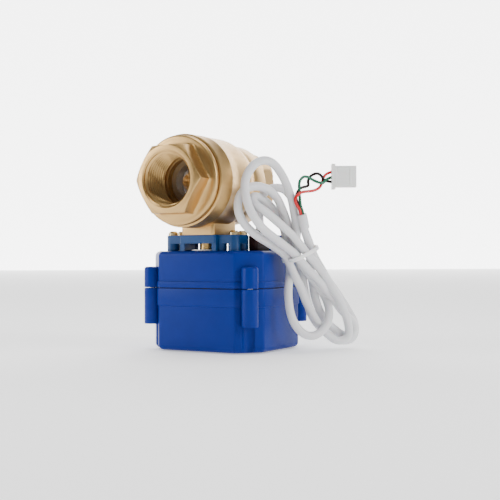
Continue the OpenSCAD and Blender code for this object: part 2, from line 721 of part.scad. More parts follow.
valve_body();
end_cap();
ball();
valve_stem();
seat_front();
seat_rear();
stem_orings();
stem_washer();
bracket();
bracket_screws();
valve_screws();
upper_case();
lower_case();
case_seal();
case_screws();
top_bush();
foot_bush();
output_shaft();
sector_gear();
open_cam();
close_cam();
idler_gear();
idler_pin();
gear_plate();
plate_screws();
gearbox();
motor_can();
motor_terminals();
motor_shaft();
motor_pinion();
gearbox_screws();
open_switch();
close_switch();
open_plunger();
close_plunger();
switch_spacer();
switch_screws();
circuit_board();
board_parts();
board_screws();
cable_block();
cable_tube();
cable_hank();
cable_tie();
end_sleeve();
wire_red();
wire_green();
wire_black();
plug_housing();
plug_contacts();
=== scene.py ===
from math import acos, cos, pi, radians, sin

import bmesh
import bpy
from mathutils import Matrix, Vector


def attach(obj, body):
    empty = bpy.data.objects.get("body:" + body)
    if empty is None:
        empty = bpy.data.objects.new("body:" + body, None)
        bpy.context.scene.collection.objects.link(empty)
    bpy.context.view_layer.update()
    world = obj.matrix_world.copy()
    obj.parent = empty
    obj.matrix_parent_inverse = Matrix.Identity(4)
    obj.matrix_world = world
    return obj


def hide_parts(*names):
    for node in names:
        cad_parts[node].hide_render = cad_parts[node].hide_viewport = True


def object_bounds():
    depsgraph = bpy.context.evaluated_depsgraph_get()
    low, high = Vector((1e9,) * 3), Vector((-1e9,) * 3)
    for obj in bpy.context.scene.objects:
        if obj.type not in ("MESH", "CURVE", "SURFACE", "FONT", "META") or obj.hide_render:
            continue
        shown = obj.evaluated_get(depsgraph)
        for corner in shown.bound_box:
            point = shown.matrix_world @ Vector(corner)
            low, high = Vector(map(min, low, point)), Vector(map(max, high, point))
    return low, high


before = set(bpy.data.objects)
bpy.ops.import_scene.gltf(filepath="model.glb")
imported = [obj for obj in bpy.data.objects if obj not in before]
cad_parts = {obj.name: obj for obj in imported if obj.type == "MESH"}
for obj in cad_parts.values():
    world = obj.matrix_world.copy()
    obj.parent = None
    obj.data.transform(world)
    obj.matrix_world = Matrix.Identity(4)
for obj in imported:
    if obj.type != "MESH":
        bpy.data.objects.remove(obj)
cad_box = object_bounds()

MM = 0.001
PIPE_Z = 84.1            # height of the pipe axis
PITCH = 1.814            # port thread, 14 to the inch
SCENE = bpy.context.scene


# ---------------------------------------------------------------- materials
def link(tree, a, b):
    tree.links.new(a, b)


def blank(name):
    """A material with one shader and the piece's own coordinates."""
    m = bpy.data.materials.new(name)
    m.use_nodes = True
    t = m.node_tree
    shader = t.nodes["Principled BSDF"]
    coord = t.nodes.new("ShaderNodeTexCoord")
    return m, t, shader, coord.outputs["Object"]


def noise(t, where, scale, detail=4.0, rough=0.55):
    n = t.nodes.new("ShaderNodeTexNoise")
    n.inputs["Scale"].default_value = scale
    n.inputs["Detail"].default_value = detail
    n.inputs["Roughness"].default_value = rough
    link(t, where, n.inputs["Vector"])
    return n.outputs["Fac"]


def ramp(t, value, stops):
    r = t.nodes.new("ShaderNodeValToRGB")
    els = r.color_ramp.elements
    while len(els) < len(stops):
        els.new(0.5)
    for el, (at, colour) in zip(els, stops):
        el.position = at
        el.color = (*colour, 1)
    link(t, value, r.inputs["Fac"])
    return r.outputs["Color"]


def spread(t, value, low, high):
    m = t.nodes.new("ShaderNodeMapRange")
    m.inputs["From Min"].default_value = 0.3
    m.inputs["From Max"].default_value = 0.7
    m.inputs["To Min"].default_value = low
    m.inputs["To Max"].default_value = high
    link(t, value, m.inputs["Value"])
    return m.outputs["Result"]


def bumped(t, shader, height, strength, distance):
    b = t.nodes.new("ShaderNodeBump")
    b.inputs["Strength"].default_value = strength
    b.inputs["Distance"].default_value = distance
    link(t, height, b.inputs["Height"])
    link(t, b.outputs["Normal"], shader.inputs["Normal"])


def lin(r, g, b):
    """An sRGB colour from 0 to 255 as linear values."""
    def one(c):
        return c / 12.92 if c <= 0.04045 else ((c + 0.055) / 1.055) ** 2.4
    return tuple(one(c / 255) for c in (r, g, b))


def shade(c, k):
    return tuple(min(1.0, v * k) for v in c)


def metal(name, colour, rough=(0.2, 0.35), grain=700, bump=0.15, tone=0.12, patch=60):
    m, t, s, where = blank(name)
    big = noise(t, where, patch, 3)
    fine = noise(t, where, grain, 3, 0.5)
    link(t, ramp(t, big, [(0.3, shade(colour, 1 - tone)), (0.7, shade(colour, 1 + tone))]),
         s.inputs["Base Color"])
    link(t, spread(t, fine, *rough), s.inputs["Roughness"])
    s.inputs["Metallic"].default_value = 1.0
    bumped(t, s, fine, bump, 0.00002)
    return m


def plastic(name, colour, rough=(0.3, 0.42), grain=1800, bump=0.12, tone=0.05, gloss=0.5, skin=0.0):
    m, t, s, where = blank(name)
    big = noise(t, where, 90, 2)
    fine = noise(t, where, grain, 5, 0.6)
    link(t, ramp(t, big, [(0.3, shade(colour, 1 - tone)), (0.7, shade(colour, 1 + tone))]),
         s.inputs["Base Color"])
    link(t, spread(t, fine, *rough), s.inputs["Roughness"])
    s.inputs["Specular IOR Level"].default_value = gloss
    if skin:
        s.inputs["Subsurface Weight"].default_value = skin
        s.inputs["Subsurface Scale"].default_value = 0.002
    bumped(t, s, fine, bump, 0.00005)
    return m


MAT = {
    "brass_body": metal("brass_body", lin(196, 160, 104), (0.3, 0.42), 700, 0.35, 0.06),
    "brass_stem": metal("brass_stem", lin(200, 164, 104), (0.24, 0.32), 900, 0.3, 0.05),
    "ball_chrome": metal("ball_chrome", lin(216, 217, 220), (0.06, 0.12), 1200, 0.03, 0.03),
    "ptfe": plastic("ptfe", lin(150, 128, 98), (0.35, 0.5), 900, 0.03, 0.03, 0.4),
    "rubber": plastic("rubber", lin(24, 24, 26), (0.5, 0.65), 2200, 0.2, 0.1, 0.35),
    "bracket_blue": plastic("bracket_blue", lin(0, 58, 112), (0.3, 0.42), 1000, 0.1, 0.08, 0.35),
    "case_blue": plastic("case_blue", lin(0, 36, 124), (0.36, 0.46), 1500, 0.06, 0.05, 0.14),
    "screw_brass": metal("screw_brass", lin(202, 182, 140), (0.22, 0.34), 1600, 0.1, 0.08, 300),
    "screw_steel": metal("screw_steel", lin(196, 197, 200), (0.2, 0.32), 1600, 0.1, 0.06, 300),
    "steel": metal("steel", lin(190, 192, 196), (0.22, 0.36), 1100, 0.12, 0.06),
    "shaft_plastic": plastic("shaft_plastic", lin(228, 227, 221), (0.3, 0.42), 1500, 0.08, 0.03),
    "gear_plastic": plastic("gear_plastic", lin(236, 234, 224), (0.32, 0.45), 1500, 0.08, 0.03),
    "cam_black": plastic("cam_black", lin(36, 36, 38), (0.35, 0.48), 1700, 0.1, 0.08),
    "cam_red": plastic("cam_red", lin(190, 38, 30), (0.32, 0.45), 1700, 0.1, 0.05),
    "bronze": metal("bronze", lin(176, 130, 74), (0.35, 0.5), 1800, 0.3, 0.1, 400),
    "pinion_brass": metal("pinion_brass", lin(208, 176, 104), (0.18, 0.3), 1500, 0.1, 0.06),
    "switch_black": plastic("switch_black", lin(28, 28, 30), (0.35, 0.48), 1700, 0.1, 0.08),
    "switch_red": plastic("switch_red", lin(206, 28, 24), (0.3, 0.42), 1700, 0.08, 0.05),
    "board_green": plastic("board_green", lin(14, 92, 50), (0.25, 0.36), 2600, 0.08, 0.14, 0.6),
    "board_parts": plastic("board_parts", lin(30, 31, 34), (0.35, 0.5), 1600, 0.1, 0.1),
    "block_black": plastic("block_black", lin(34, 8, 7), (0.4, 0.5), 1200, 0.1, 0.15, 0.2),
    "cable_white": plastic("cable_white", lin(222, 222, 224), (0.34, 0.46), 1500, 0.1, 0.03, 0.45, 0.08),
    "tie_white": plastic("tie_white", lin(240, 240, 240), (0.28, 0.4), 1500, 0.06, 0.03, 0.5, 0.15),
    "wire_red": plastic("wire_red", lin(196, 0, 14), (0.28, 0.38), 1500, 0.03, 0.05),
    "wire_green": plastic("wire_green", lin(0, 92, 62), (0.28, 0.38), 1500, 0.03, 0.05),
    "wire_black": plastic("wire_black", lin(26, 6, 6), (0.28, 0.38), 1500, 0.03, 0.08, 0.3),
    "plug_white": plastic("plug_white", lin(238, 238, 236), (0.3, 0.42), 900, 0.02, 0.02, 0.5, 0.1),
    "contact_tin": metal("contact_tin", lin(206, 204, 196), (0.2, 0.34), 1800, 0.1, 0.06, 500),
}


# ---------------------------------------------------------------- mesh tools
def finished(name, bm, slot, body, *nodes, sharp=34):
    """A mesh object from bm in millimetres, shaded smooth between sharp edges, on its body."""
    bmesh.ops.remove_doubles(bm, verts=bm.verts, dist=0.0005)
    bmesh.ops.recalc_face_normals(bm, faces=bm.faces)
    bmesh.ops.scale(bm, verts=bm.verts, vec=(MM, MM, MM))
    for f in bm.faces:
        f.smooth = True
    for e in bm.edges:
        e.smooth = e.calc_face_angle(0) < radians(sharp)
    me = bpy.data.meshes.new(name)
    bm.to_mesh(me)
    bm.free()
    me.materials.append(MAT[slot])
    o = bpy.data.objects.new(name, me)
    SCENE.collection.objects.link(o)
    if nodes:
        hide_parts(*nodes)
    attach(o, body)
    return o


def bevel(o, width, segments=2, angle=38):
    m = o.modifiers.new("edges", "BEVEL")
    m.width = width * MM
    m.segments = segments
    m.limit_method = "ANGLE"
    m.angle_limit = radians(angle)
    return o


def grid(bm, rings, closed=False):
    """Joins rings of equal length into a skin, in a loop if closed, with flat ends if not."""
    rows = [[bm.verts.new(p) for p in ring] for ring in rings]
    n = len(rows[0])
    pairs = list(zip(rows, rows[1:])) + ([(rows[-1], rows[0])] if closed else [])
    for a, b in pairs:
        for k in range(n):
            bm.faces.new((a[k], a[(k + 1) % n], b[(k + 1) % n], b[k]))
    if not closed:
        bm.faces.new(rows[0])
        bm.faces.new(rows[-1])


def at(r, a):
    return r(a) if callable(r) else r


def pipe_ring(r, y, n):
    """A ring round the pipe axis; r is a number or a function of the angle."""
    out = []
    for k in range(n):
        a = 2 * pi * k / n
        q = at(r, a)
        out.append((q * cos(a), at(y, a), PIPE_Z + q * sin(a)))
    return out


def turned(name, stations, n, slot, body, *nodes, sharp=34):
    """A closed ring-shaped piece round the pipe axis, from (radius, y) stations in a loop."""
    bm = bmesh.new()
    grid(bm, [pipe_ring(r, y, n) for r, y in stations], closed=True)
    return finished(name, bm, slot, body, *nodes, sharp=sharp)


def upright(bm, x, y, stations, n=48, closed=False):
    """A turned piece standing on the Z axis at x, y, from (radius, z) stations."""
    grid(bm, [[(x + r * cos(2 * pi * k / n), y + r * sin(2 * pi * k / n), z) for k in range(n)]
              for r, z in stations], closed=closed)


def round_rect(x0, x1, y0, y1, r, z, n=6):
    out = []
    for cx, cy, start in ((x1 - r, y1 - r, 0), (x0 + r, y1 - r, 90), (x0 + r, y0 + r, 180),
                          (x1 - r, y0 + r, 270)):
        for k in range(n + 1):
            a = radians(start + 90 * k / n)
            out.append((cx + r * cos(a), cy + r * sin(a), z))
    return out


def hexagon(af, turn):
    """Radius of a hexagon of that width across flats at an angle."""
    return lambda a: af / 2 / cos((a - radians(turn)) % radians(60) - radians(30))


def least(f, limit):
    return lambda a: min(f(a), limit)


def thread(y0, y1, major, depth, inward, per_turn=9):
    """Stations of a right-handed internal thread from y0 to y1, faded out at both ends."""
    count = int(abs(y1 - y0) / PITCH * per_turn)
    out = []
    for k in range(count + 1):
        y = y0 + (y1 - y0) * k / count
        fade = min(1.0, min(abs(y - y0), abs(y - y1)) / 1.2)

        def radius(a, y=y, fade=fade):
            u = (y / PITCH - inward * a / (2 * pi)) % 1.0
            tooth = min(1.0, max(0.0, 1.5 - abs(u - 0.5) * 3.6 - 0.28))
            return major - depth * fade * tooth
        out.append((radius, y))
    return out


# ---------------------------------------------------------------- cable and cords
HANK = Vector((24.9, -4.2, 0.0))          # foot of the plane that the hank stands in
TURN = radians(59.84)
ALONG = Vector((cos(TURN), sin(TURN), 0))
DEEP = Vector((-sin(TURN), cos(TURN), 0))


def hank(s, y, z):
    """A point in the row frame, in metres, from its place along, across and up the hank."""
    return (HANK + ALONG * s + DEEP * y + Vector((0, 0, z))) * MM


CABLE_R = 2.1
# the cable's line from the block to its sleeve: along, across and up the hank
ROUTE = [
    (13.4, 8.7, 55.5), (13.4, 8.7, 59), (12.5, 8, 62.5), (12, 7.5, 66.5), (11, 6, 73),
    (11, 4.5, 76.5), (14, 1.5, 81), (21, 1, 81.5), (24.5, 0.5, 79), (27.5, 0, 75),
    (30, -1, 68.5), (32.5, -1.5, 61.5), (34.5, -2, 56), (35.5, -2, 52),
    (36.5, -1, 47), (37.5, 0, 42), (38.5, 1, 37.5), (40, 1.5, 33), (40.5, 1.5, 29),
    (41, 0.5, 25), (42.5, 0, 20.5), (44.5, -0.5, 16.5), (47, -1, 13), (50.5, -1, 10.5),
    (55.5, -1.5, 6.8), (60, -1.7, 5.2), (63.6, -2, 8), (63, -2, 12),
    (60.5, -2, 14.5), (54.5, -2.5, 19.5), (51, -3, 23.5), (46.5, -4, 27.5), (43, -5.5, 30.5),
    (39, -7, 34), (34, -7.5, 38), (30, -8, 41.5), (26.5, -8, 45), (23, -8, 48.5),
    (17.5, -8, 52), (12.5, -8, 55.5), (7, -8, 59), (3.5, -8, 62), (0.5, -8, 65.5),
    (-2.5, -8, 70), (-4, -8, 74.5), (-5, -8, 78.5), (-5, -8, 83.5), (-3, -8, 88),
    (0.5, -8, 92), (5.5, -8, 94), (10.5, -8, 93), (14.5, -8, 89), (17.5, -8, 84.5),
    (19.5, -7.5, 81), (21.5, -7, 77), (23, -6.5, 73), (24, -6, 69), (25, -6, 64.5),
    (26, -5.5, 59), (25.5, -5.5, 54), (26.5, -5, 49),
    (27, -4.5, 45.5), (31, -4, 41), (35.5, -3, 37), (39, -2.5, 33.5), (43, -1, 30),
    (45.8, -0.8, 26.4), (46, -3.4, 22.4), (45, -6, 18.5), (43, -8, 14.5), (39.5, -9, 10.5),
    (35, -9.5, 8), (30.5, -9.5, 7.5), (26, -9.5, 9.5), (22.5, -9, 13.5), (20.5, -8.5, 18),
    (20, -7.5, 23), (20.5, -6, 28), (21.5, -4.5, 32.5), (23.5, -2.5, 36.5), (25, -0.5, 40.5),
    (25, 0.5, 47.5),
    (25, 1.5, 52), (24.5, 2.5, 56), (24, 3, 60), (22, 2.5, 64), (19.5, 2, 68), (14, 1, 73),
    (9.5, 0.5, 75.5), (5, -1, 76.8), (1.5, -3.4, 75.6), (1.6, -6, 72.4), (6, -7.5, 69.4), (12, -7.8, 65),
    (18, -8, 60.5), (22.5, -8.5, 56.5), (26, -8.5, 53), (28, -8.5, 50.5),
    (31, -8.5, 47.5), (36, -8, 42.5), (41, -8, 37.5), (46.5, -8, 29.5), (50, -7.5, 25.5),
    (53, -7, 19.5), (55.5, -6.5, 15), (57.2, -6.3, 8), (55, -6, 5), (51.5, -5.8, 3.9), (48, -5.5, 4.9),
    (45, -5.5, 7), (41, -5, 10.5), (38, -5, 14), (33.5, -5, 21), (30.5, -5, 26.5),
    (28.5, -5.5, 31), (26.5, -5.5, 34.5), (24, -5.5, 38.5), (22.5, -5, 42.5), (20.5, -4, 47.5),
    (16.5, -3.5, 50.5), (11.5, -3.5, 53.5), (6.5, -3.5, 56), (1.5, -3.5, 59), (-3, -3.5, 63),
    (-5.5, -3.5, 67), (-6.5, -3.5, 71), (-6, -3.5, 75), (-4, -3.5, 78.5), (0, -3.5, 81),
    (5, -3.5, 81.5), (9.5, -3.5, 80.5), (14, -3.5, 78), (17, -3.5, 74), (19.5, -3, 69.5),
    (21.5, -2.5, 66), (25, -1.5, 58), (27.5, -1, 53.5), (29, 0, 49),
    (30.5, 0, 44), (32.5, 0.5, 39), (33.5, 0.5, 34), (34.5, 0.5, 29), (36, 0.5, 23.5),
    (38.5, 1.5, 18), (42.5, 2.5, 13), (47, 3, 9), (52, 2.5, 6), (57, 2, 3.5), (61.5, 2, 2.9),
    (65.4, 1.7, 4.6), (66.6, 1.4, 8.4), (65.4, 1, 13), (63, 1, 17), (56.5, 0, 25), (51.5, -1, 30.5),
    (46.5, -2, 35.5), (41.5, -4, 41), (37.5, -5, 45.5), (34.5, -6, 50), (32, -7, 55),
    (29.5, -8, 58.5), (27, -8.5, 64.5), (26.4, -8.5, 67),
]


def curve_through(points, steps):
    """Points of one smooth line through the given ones."""
    out = []
    last = len(points) - 1
    for i in range(last):
        a, b = points[max(i - 1, 0)], points[i]
        c, d = points[i + 1], points[min(i + 2, last)]
        for j in range(steps):
            t = j / steps
            out.append(0.5 * ((2 * b) + (c - a) * t + (2 * a - 5 * b + 4 * c - d) * t * t
                              + (3 * b - a - 3 * c + d) * t ** 3))
    out.append(points[-1])
    return out


def eased(points, rounds):
    """The same line with its small kinks eased out, ends held."""
    for _ in range(rounds):
        inner = [(a + b * 2 + c) / 4 for a, b, c in zip(points, points[1:], points[2:])]
        points = [points[0]] + inner + [points[-1]]
    return points


def cord_curve(name, points, radius, slot):
    """A round cord on one line, as a curve with closed ends."""
    cu = bpy.data.curves.new(name, "CURVE")
    cu.dimensions = "3D"
    cu.bevel_depth = radius * MM
    cu.bevel_resolution = 5
    cu.use_fill_caps = True
    sp = cu.splines.new("POLY")
    sp.points.add(len(points) - 1)
    for p, q in zip(sp.points, points):
        p.co = (*q, 1)
    sp.use_smooth = True
    cu.materials.append(MAT[slot])
    o = bpy.data.objects.new(name, cu)
    SCENE.collection.objects.link(o)
    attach(o, "housing")
    return o


cable_line = eased(curve_through([hank(*p) for p in ROUTE], 4), 6)
cable = cord_curve("cable", cable_line, CABLE_R, "cable_white")
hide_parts("cable_tube", "cable_hank")

SLEEVE_A = hank(28.4, -9.2, 60.8)
SLEEVE_B = hank(26.2, -9.8, 67.9)
WIRE_R = 0.75
PLUG = (44, -9.6, 87)
WIRES = {
    "red": [(25.4, -10.3, 67), (24.4, -10.6, 70), (21.6, -11, 73.8), (21.8, -11.4, 76.2),
            (24.6, -11.6, 78.5), (28.4, -11.4, 79.1), (32.5, -11.4, 79.7), (36, -10.8, 81.3),
            (38, -10, 83.7), (39, -9.6, 86), (40.8, -9.6, 88.2), (44.6, -9.6, 89.6)],
    "green": [(27, -10, 67), (26, -10.4, 70), (24.8, -10.6, 72.9), (24.1, -10.7, 81.3),
              (24.6, -10.6, 84.3), (26.9, -10.2, 86.3), (29.6, -9.8, 86.4), (32.7, -10, 85),
              (35, -11.4, 83.8), (37.6, -11.8, 83.6), (40.4, -10.4, 85.5), (44.6, -9.6, 87)],
    "black": [(26.2, -9.2, 67), (24.8, -9.6, 71), (22.6, -10.1, 76.6), (24.8, -10.2, 80.4),
              (27.6, -10, 81.4), (30.2, -9.6, 82.2), (30.8, -8.4, 84.6), (31.6, -9.6, 87),
              (33.9, -11.6, 88.2), (36.7, -11.4, 87.2), (39.6, -9.9, 85), (44.6, -9.6, 84.4)],
}
wire_lines = {k: eased(curve_through([hank(*p) for p in v], 5), 2) for k, v in WIRES.items()}
wires = {k: cord_curve("lead_" + k, v, WIRE_R, "wire_" + k) for k, v in wire_lines.items()}
for k, o in wires.items():
    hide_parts("wire_" + k)


def along_line(bm, a, b, stations, n=40):
    """A turned piece along the line from a to b, from (radius, share of the length)."""
    axis = (b - a).normalized()
    u = axis.cross(Vector((0, 0, 1))).normalized()
    v = axis.cross(u)
    grid(bm, [[(a + (b - a) * f + (u * cos(2 * pi * k / n) + v * sin(2 * pi * k / n)) * r * MM)
               / MM for k in range(n)] for r, f in stations])


bm = bmesh.new()
along_line(bm, SLEEVE_A, SLEEVE_B, [(2.12, 0), (2.3, 0.03), (2.4, 0.1), (2.42, 0.5), (2.42, 0.9),
                                    (2.36, 0.97), (2.2, 1), (1.9, 1), (1.85, 0.93)])
sleeve = finished("sleeve", bm, "cable_white", "housing", "end_sleeve")

# the band round the strands
TIE = (28.9, -4.1, 48.4)
TIE_TILT = radians(24.5)
bm = bmesh.new()
rings = []
TIE_W, TIE_D, TIE_T, TIE_H = 16.6, 12.6, 0.9, 1.9
for grow, up in ((0, -1), (0.25, -1.02), (TIE_T - 0.25, -1.02), (TIE_T, -0.8), (TIE_T, 0.8),
                 (TIE_T - 0.25, 1.02), (0.25, 1.02), (0, 1)):
    ring = []
    for x, y, _ in round_rect(-TIE_W / 2 - grow, TIE_W / 2 + grow, -TIE_D / 2 - grow,
                              TIE_D / 2 + grow, 4 + grow, 0, 8):
        h = up * TIE_H / 2
        ring.append(hank(TIE[0] + x * cos(TIE_TILT) - h * sin(TIE_TILT), TIE[1] + y,
                         TIE[2] + x * sin(TIE_TILT) + h * cos(TIE_TILT)) / MM)
    rings.append(ring)
grid(bm, rings, closed=True)
tie = finished("tie", bm, "tie_white", "housing", "cable_tie")

# ---------------------------------------------------------------- camera, floor and light
SWING, RISE, ROLL = radians(30.1), radians(0.166), radians(-0.189)
forward = Vector((-sin(SWING) * cos(RISE), cos(SWING) * cos(RISE), sin(RISE)))
side = Vector((cos(SWING), sin(SWING), 0))
top = side.cross(forward)
right = side * cos(ROLL) + top * sin(ROLL)
upward = -side * sin(ROLL) + top * cos(ROLL)
cam_data = bpy.data.cameras.new("camera")
cam_data.lens = 70.34
cam_data.sensor_width = 36
camera = bpy.data.objects.new("camera", cam_data)
SCENE.collection.objects.link(camera)
place = Matrix((right, upward, -forward)).transposed().to_4x4()
place.translation = Vector((265.9, -416.0, 48.95)) * MM
camera.matrix_world = place
SCENE.camera = camera

FLOOR, floor_tree, floor_shader, floor_where = blank("floor")
link(floor_tree, ramp(floor_tree, noise(floor_tree, floor_where, 6), [(0.3, (0.93, 0.93, 0.93)),
                                                                    (0.7, (0.95, 0.95, 0.95))]),
     floor_shader.inputs["Base Color"])
floor_shader.inputs["Roughness"].default_value = 0.9
floor_mesh = bpy.data.meshes.new("floor")
floor_mesh.from_pydata([(-3, -3, 0), (3, -3, 0), (3, 3, 0), (-3, 3, 0)], [], [(0, 1, 2, 3)])
floor_mesh.materials.append(FLOOR)
floor = bpy.data.objects.new("floor", floor_mesh)
floor.location.z = min(0.0, cad_box[0][2]) - 0.0005
SCENE.collection.objects.link(floor)
floor_shader.inputs["Emission Color"].default_value = (1, 1, 1, 1)
floor_shader.inputs["Emission Strength"].default_value = 0.4

# a bright screen far behind the object
SCREEN = bpy.data.materials.new("screen")
SCREEN.use_nodes = True
screen_shader = SCREEN.node_tree.nodes["Principled BSDF"]
screen_shader.inputs["Base Color"].default_value = (0.9, 0.9, 0.9, 1)
screen_shader.inputs["Emission Color"].default_value = (1, 1, 1, 1)
screen_shader.inputs["Emission Strength"].default_value = 5.0
ahead = Vector((-sin(SWING), cos(SWING), 0))
screen_mesh = bpy.data.meshes.new("screen")
screen_mesh.from_pydata([ahead * 2.4 + side * x + Vector((0, 0, z))
                         for x, z in ((-3, -0.2), (3, -0.2), (3, 2.5), (-3, 2.5))],
                        [], [(0, 1, 2, 3)])
screen_mesh.materials.append(SCREEN)
screen = bpy.data.objects.new("screen", screen_mesh)
SCENE.collection.objects.link(screen)

world = bpy.data.worlds.new("studio")
world.use_nodes = True
world.node_tree.nodes["Background"].inputs["Color"].default_value = (1, 1, 1, 1)
world.node_tree.nodes["Background"].inputs["Strength"].default_value = 0.22
SCENE.world = world


def softbox(name, place, aim, width, power):
    data = bpy.data.lights.new(name, "AREA")
    data.shape = "RECTANGLE"
    data.size = width
    data.size_y = width * 1.4
    data.energy = power
    o = bpy.data.objects.new(name, data)
    o.location = place
    o.rotation_euler = (Vector(aim) - Vector(place)).to_track_quat("-Z", "Y").to_euler()
    SCENE.collection.objects.link(o)


MIDDLE = (0.01, 0.01, 0.05)
softbox("left_light", (-0.6, -0.5, 0.3), MIDDLE, 0.35, 4.5)
softbox("right_light", (0.8, 0.05, 0.35), MIDDLE, 0.35, 5)
softbox("top_light", (0.05, -0.1, 0.9), MIDDLE, 0.5, 5)

# ---------------------------------------------------------------- valve
FRONT_FLAT = hexagon(32.4, 0)
JOINT = -23.1


def front_hex(y):
    """The front hexagon with its corners turned off at 30 degrees."""
    return least(FRONT_FLAT, 16 + 1.69 * (y + 36.4))


THROAT_R = 11.2
cap = [(13.9, -36.4), (15.7, -36.4), (front_hex(-36.3), -36.3)]
cap += [(front_hex(-36.4 + 0.25 * k), -36.4 + 0.25 * k) for k in range(1, 9)]
cap += [(front_hex(-30), y) for y in (-34, -32, -30, -28.2)]
cap += [(lambda a, g=g: FRONT_FLAT(a) + g * (19.6 - FRONT_FLAT(a)), y)
        for g, y in ((0.1, -27.5), (0.4, -27.0), (0.8, -26.75), (1, -26.7))]
cap += [(20.6, -26.7), (21.2, -26.55), (21.65, -26.2), (21.9, -25.7), (21.9, -24.4),
        (21.8, -24.1), (21.5, -23.9), (20.8, -23.85), (20.8, JOINT - 0.02), (17, JOINT - 0.02),
        (17, -12.7), (12.05, -12.7), (12.05, -15.3), (THROAT_R, -15.3), (THROAT_R, -18.7),
        (12.1, -18.9)]
cap += thread(-19.0, -35.9, 13.22, 1.2, 1)
turned("end_cap_brass", cap, 180, "brass_body", "housing", "end_cap")

REAR = hexagon(36.2, 30)
body = [(17, JOINT), (21.6, JOINT), (22.2, -23.0), (22.65, -22.7), (22.8, -22.2), (22.8, -13.4),
        (22.92, -13.2), (22.92, -12.9), (22.8, -12.7), (22.8, -6), (22.8, 0), (22.8, 4),
        (22.7, 5.4), (22.4, 6.9), (21.8, 8.5), (21.1, 10), (20.6, 11.2), (20.35, 12.2),
        (20.4, 13), (20.6, 14), (20.7, 16), (20.7, 23), (20.5, 23.6), (20.0, 24)]
body += [(least(REAR, 19.9), y) for y in (24.3, 27, 30, 33, 35.2)]
body += [(least(REAR, 19.5), 35.7), (least(REAR, 19), 36.1), (18.3, 36.4), (13.9, 36.4)]
body += thread(35.9, 19.0, 13.22, 1.2, 1)
body += [(12.1, 18.9), (THROAT_R, 18.7), (THROAT_R, 15.4), (12.05, 15.4), (12.05, 12.6),
         (14.2, 12.6), (14.2, -12.6), (17, -12.6)]
turned("valve_brass", body, 180, "brass_body", "housing", "valve_body")

FOOT_BACK = 1.3          # the foot's middle lies behind the stem
bm = bmesh.new()
foot_levels = [(9.3, 1.6, 57.82), (9.65, 1.8, 57.95), (9.8, 2.0, 58.4), (9.8, 2.0, 64.6),
               (9.7, 2.0, 65.0), (9.3, 1.9, 65.3), (8.7, 1.8, 65.5), (8.6, 1.8, 66.2),
               (9.0, 2.0, 67.4), (10.2, 2.4, 68.4)]
grid(bm, [round_rect(-h, h, -h, h + 2 * FOOT_BACK, r, z, 8) for h, r, z in foot_levels])
finished("valve_foot", bm, "brass_body", "housing")

# ball, with its bore along the pipe
BALL_R, BALL_BORE = 13.0, 8.5
edge = acos(BALL_BORE / BALL_R)
arc = [(BALL_R * cos(edge * (1 - k / 14)), -BALL_R * sin(edge * (1 - k / 14)))
       for k in range(29)]
lip = BALL_R * sin(edge)
turned("ball_turned", [(BALL_BORE, -lip + 0.3)] + arc + [(BALL_BORE, lip - 0.3)]
       + [(BALL_BORE, y) for y in (5, 0, -5)], 120, "ball_chrome", "output", "ball")

for sign, node in ((-1, "seat_front"), (1, "seat_rear")):
    hollow = [(BALL_R * 1.008 * cos(a), sign * BALL_R * 1.008 * sin(a))
              for a in (radians(48.6 - 2.2 * k) for k in range(7))]
    ring = [(8.65, sign * 15.2), (8.6, sign * 10)] + hollow[1:] \
        + [(11.95, sign * 7.5), (11.95, sign * 15.2)]
    turned(node + "_ptfe", ring, 96, "ptfe", "housing", node)

# ---------------------------------------------------------------- housing
CASE_X, CASE_Y0, CASE_Y1 = 32.45, -10.9, 47.7
CUT_X, CUT_Y = 10.1, 11.0


def case_ring(d, z, fillet=0.9, n=4):
    """The housing's eight-sided plan moved in by d, its corners rounded, at height z."""
    x, y0, y1 = CASE_X - d, CASE_Y0 + d, CASE_Y1 - d
    cx = CUT_X - 0.42 * d
    cy = CUT_Y - 0.42 * d
    pts = [Vector(p) for p in ((x - cx, y0), (x, y0 + cy), (x, y1 - cy), (x - cx, y1),
                               (cx - x, y1), (-x, y1 - cy), (-x, y0 + cy), (cx - x, y0))]
    out = []
    for i, p in enumerate(pts):
        a = (pts[i - 1] - p).normalized()
        b = (pts[(i + 1) % 8] - p).normalized()
        for k in range(n + 1):
            t = k / n
            q = p + a * fillet * (1 - t) ** 2 + b * fillet * t * t
            out.append((q.x, q.y, z))
    return out


def fillet_levels(z, height, inset, steps, top):
    """Levels of a rounded edge: pairs of (inset, height)."""
    out = []
    for k in range(1, steps + 1):
        a = pi / 2 * k / steps
        rise = height * sin(a)
        out.append((inset * (1 - cos(a)), z + rise if top else z - rise))
    return out


BOSSES = [(sx * 28.9, y) for sx in (-1, 1) for y in (-7.4, 44.2)]
SEAM = 31.4


def drill(o, cutters):
    """Cuts closed meshes out of o and keeps the result as its own mesh."""
    for c in cutters:
        m = o.modifiers.new("cut", "BOOLEAN")
        m.operation = "DIFFERENCE"
        m.solver = "EXACT"
        m.object = c
    bpy.context.view_layer.update()
    got = bpy.data.meshes.new_from_object(o.evaluated_get(bpy.context.evaluated_depsgraph_get()))
    o.modifiers.clear()
    o.data = got
    for c in cutters:
        bpy.data.objects.remove(c)


def cutter(build):
    bm = bmesh.new()
    build(bm)
    bmesh.ops.recalc_face_normals(bm, faces=bm.faces)
    bmesh.ops.scale(bm, verts=bm.verts, vec=(MM, MM, MM))
    me = bpy.data.meshes.new("cutter")
    bm.to_mesh(me)
    bm.free()
    o = bpy.data.objects.new("cutter", me)
    SCENE.collection.objects.link(o)
    return o


